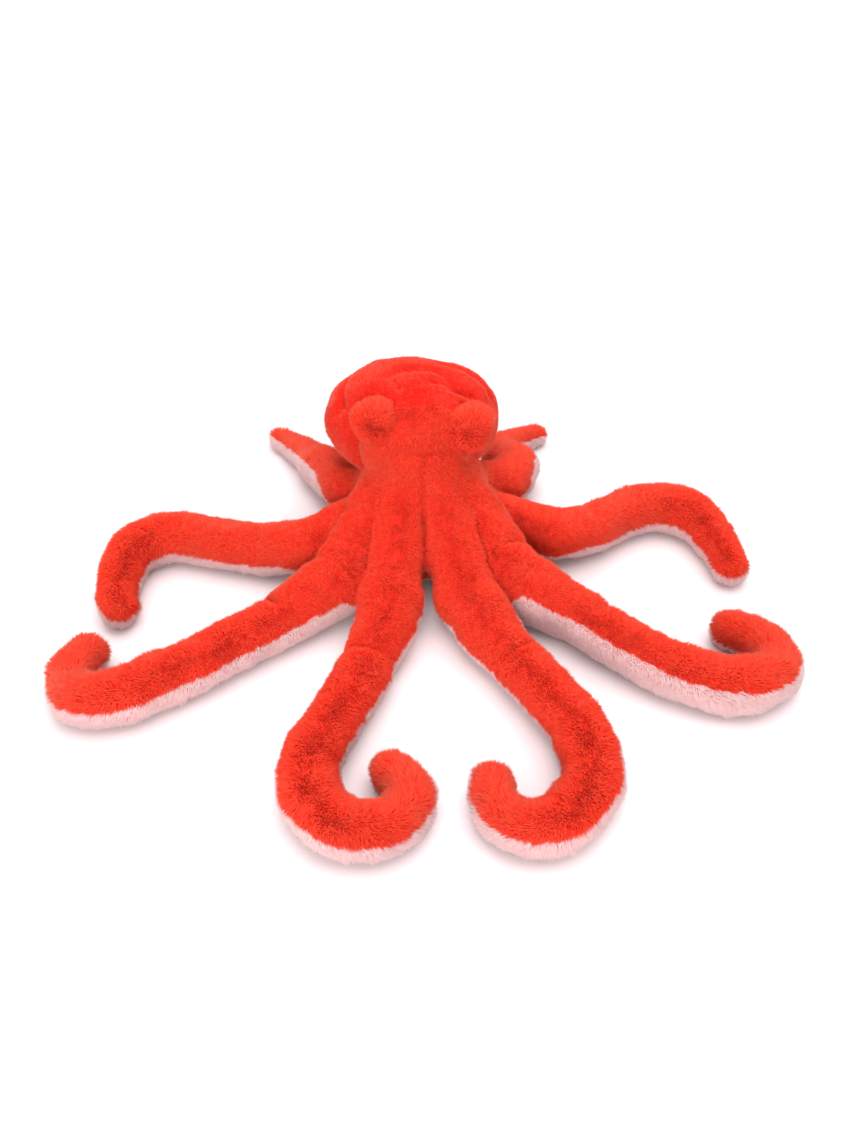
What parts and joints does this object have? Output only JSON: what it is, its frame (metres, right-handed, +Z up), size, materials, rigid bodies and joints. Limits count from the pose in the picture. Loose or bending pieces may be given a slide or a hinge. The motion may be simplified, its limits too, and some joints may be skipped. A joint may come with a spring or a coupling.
{
  "type": "plush octopus toy",
  "caption": "Soft stuffed octopus lying on its belly, with curling arms spread round a fluted body and a rounded head that nods.",
  "frame": {"origin": "the middle of the belly, on the surface that the toy lies on", "axes": "+Z up; -Y towards the two front arms; +X across the toy, towards its side_right arm"},
  "size_m": [0.6123, 0.527, 0.154],
  "materials": {
    "red_plush": "dense short-pile plush, red-orange",
    "pink_plush": "dense short-pile plush, pale pink",
    "fibrefill": "loose polyester filling",
    "eye_plastic": "glossy black",
    "washer_plastic": "plain moulded"
  },
  "bodies": {
    "body": {"body_cover": "red_plush", "belly_panel": "pink_plush", "body_stuffing": "fibrefill"},
    "head": {"face_cover": "red_plush", "mantle_cover": "red_plush", "head_stuffing": "fibrefill", "left_eye_mound": "red_plush", "left_eye": "eye_plastic", "left_eye_washer": "washer_plastic", "right_eye_mound": "red_plush", "right_eye": "eye_plastic", "right_eye_washer": "washer_plastic"},
    "front_left_arm_base": {"front_left_arm_base_top_cover": "red_plush", "front_left_arm_base_under_cover": "pink_plush", "front_left_arm_base_stuffing": "fibrefill"},
    "front_left_arm_tip": {"front_left_arm_tip_top_cover": "red_plush", "front_left_arm_tip_under_cover": "pink_plush", "front_left_arm_tip_stuffing": "fibrefill"},
    "front_right_arm_base": {"front_right_arm_base_top_cover": "red_plush", "front_right_arm_base_under_cover": "pink_plush", "front_right_arm_base_stuffing": "fibrefill"},
    "front_right_arm_tip": {"front_right_arm_tip_top_cover": "red_plush", "front_right_arm_tip_under_cover": "pink_plush", "front_right_arm_tip_stuffing": "fibrefill"},
    "side_left_arm_base": {"side_left_arm_base_top_cover": "red_plush", "side_left_arm_base_under_cover": "pink_plush", "side_left_arm_base_stuffing": "fibrefill"},
    "side_left_arm_tip": {"side_left_arm_tip_top_cover": "red_plush", "side_left_arm_tip_under_cover": "pink_plush", "side_left_arm_tip_stuffing": "fibrefill"},
    "side_right_arm_base": {"side_right_arm_base_top_cover": "red_plush", "side_right_arm_base_under_cover": "pink_plush", "side_right_arm_base_stuffing": "fibrefill"},
    "side_right_arm_tip": {"side_right_arm_tip_top_cover": "red_plush", "side_right_arm_tip_under_cover": "pink_plush", "side_right_arm_tip_stuffing": "fibrefill"},
    "wide_left_arm_base": {"wide_left_arm_base_top_cover": "red_plush", "wide_left_arm_base_under_cover": "pink_plush", "wide_left_arm_base_stuffing": "fibrefill"},
    "wide_left_arm_tip": {"wide_left_arm_tip_top_cover": "red_plush", "wide_left_arm_tip_under_cover": "pink_plush", "wide_left_arm_tip_stuffing": "fibrefill"},
    "wide_right_arm_base": {"wide_right_arm_base_top_cover": "red_plush", "wide_right_arm_base_under_cover": "pink_plush", "wide_right_arm_base_stuffing": "fibrefill"},
    "wide_right_arm_tip": {"wide_right_arm_tip_top_cover": "red_plush", "wide_right_arm_tip_under_cover": "pink_plush", "wide_right_arm_tip_stuffing": "fibrefill"},
    "rear_left_arm_base": {"rear_left_arm_base_top_cover": "red_plush", "rear_left_arm_base_under_cover": "pink_plush", "rear_left_arm_base_stuffing": "fibrefill"},
    "rear_left_arm_tip": {"rear_left_arm_tip_top_cover": "red_plush", "rear_left_arm_tip_under_cover": "pink_plush", "rear_left_arm_tip_stuffing": "fibrefill"},
    "rear_right_arm_base": {"rear_right_arm_base_top_cover": "red_plush", "rear_right_arm_base_under_cover": "pink_plush", "rear_right_arm_base_stuffing": "fibrefill"},
    "rear_right_arm_tip": {"rear_right_arm_tip_top_cover": "red_plush", "rear_right_arm_tip_under_cover": "pink_plush", "rear_right_arm_tip_stuffing": "fibrefill"}
  },
  "joints": [
    {"name": "head_nod", "type": "hinge", "parent": "body", "child": "head", "pos_m": [-0.006, 0.015, 0.092], "axis": [1, 0, 0], "range_deg": [-10, 20], "stiffness_Nm_per_rad": 1},
    {"name": "front_left_arm_lift", "type": "hinge", "parent": "body", "child": "front_left_arm_base", "pos_m": [-0.03508, -0.11476, 0.029], "axis": [-0.9994, 0.0349, 0], "range_deg": [-15, 39], "stiffness_Nm_per_rad": 0.5},
    {"name": "front_left_arm_bend", "type": "hinge", "parent": "front_left_arm_base", "child": "front_left_arm_tip", "pos_m": [-0.08037, -0.26191, 0.022], "axis": [0, 0, 1], "range_deg": [-35, 15], "stiffness_Nm_per_rad": 0.3},
    {"name": "front_right_arm_lift", "type": "hinge", "parent": "body", "child": "front_right_arm_base", "pos_m": [0.03708, -0.11413, 0.029], "axis": [-0.9304, -0.3665, 0], "range_deg": [-15, 39], "stiffness_Nm_per_rad": 0.5},
    {"name": "front_right_arm_bend", "type": "hinge", "parent": "front_right_arm_base", "child": "front_right_arm_tip", "pos_m": [0.10725, -0.23499, 0.022], "axis": [0, 0, 1], "range_deg": [-15, 35], "stiffness_Nm_per_rad": 0.3},
    {"name": "side_left_arm_lift", "type": "hinge", "parent": "body", "child": "side_left_arm_base", "pos_m": [-0.0803, -0.08918, 0.029], "axis": [-0.7193, 0.6947, 0], "range_deg": [-15, 39], "stiffness_Nm_per_rad": 0.5},
    {"name": "side_left_arm_bend", "type": "hinge", "parent": "side_left_arm_base", "child": "side_left_arm_tip", "pos_m": [-0.18549, -0.18131, 0.022], "axis": [0, 0, 1], "range_deg": [-5, 35], "stiffness_Nm_per_rad": 0.3},
    {"name": "side_right_arm_lift", "type": "hinge", "parent": "body", "child": "side_right_arm_base", "pos_m": [0.0803, -0.08918, 0.029], "axis": [-0.6157, -0.788, 0], "range_deg": [-15, 39], "stiffness_Nm_per_rad": 0.5},
    {"name": "side_right_arm_bend", "type": "hinge", "parent": "side_right_arm_base", "child": "side_right_arm_tip", "pos_m": [0.17826, -0.17454, 0.022], "axis": [0, 0, 1], "range_deg": [-35, 5], "stiffness_Nm_per_rad": 0.3},
    {"name": "wide_left_arm_lift", "type": "hinge", "parent": "body", "child": "wide_left_arm_base", "pos_m": [-0.11046, -0.04689, 0.029], "axis": [0, 1, 0], "range_deg": [-15, 39], "stiffness_Nm_per_rad": 0.5},
    {"name": "wide_left_arm_bend", "type": "hinge", "parent": "wide_left_arm_base", "child": "wide_left_arm_tip", "pos_m": [-0.20815, -0.02722, 0.022], "axis": [0, 0, 1], "range_deg": [-35, 5], "stiffness_Nm_per_rad": 0.3},
    {"name": "wide_right_arm_lift", "type": "hinge", "parent": "body", "child": "wide_right_arm_base", "pos_m": [0.11692, -0.02699, 0.029], "axis": [0.1736, -0.9848, 0], "range_deg": [-15, 39], "stiffness_Nm_per_rad": 0.5},
    {"name": "wide_right_arm_bend", "type": "hinge", "parent": "wide_right_arm_base", "child": "wide_right_arm_tip", "pos_m": [0.187, 0.0101, 0.022], "axis": [0, 0, 1], "range_deg": [-5, 35], "stiffness_Nm_per_rad": 0.3},
    {"name": "rear_left_arm_lift", "type": "hinge", "parent": "body", "child": "rear_left_arm_base", "pos_m": [-0.07794, 0.03635, 0.029], "axis": [0.8829, 0.4695, 0], "range_deg": [-15, 25], "stiffness_Nm_per_rad": 0.5},
    {"name": "rear_left_arm_bend", "type": "hinge", "parent": "rear_left_arm_base", "child": "rear_left_arm_tip", "pos_m": [-0.10977, 0.09186, 0.01934], "axis": [0, 0, 1], "range_deg": [-25, 25], "stiffness_Nm_per_rad": 0.3},
    {"name": "rear_right_arm_lift", "type": "hinge", "parent": "body", "child": "rear_right_arm_base", "pos_m": [0.07293, 0.04557, 0.029], "axis": [0.766, -0.6428, 0], "range_deg": [-15, 25], "stiffness_Nm_per_rad": 0.5},
    {"name": "rear_right_arm_bend", "type": "hinge", "parent": "rear_right_arm_base", "child": "rear_right_arm_tip", "pos_m": [0.07626, 0.09621, 0.01998], "axis": [0, 0, 1], "range_deg": [-25, 25], "stiffness_Nm_per_rad": 0.3}
  ]
}
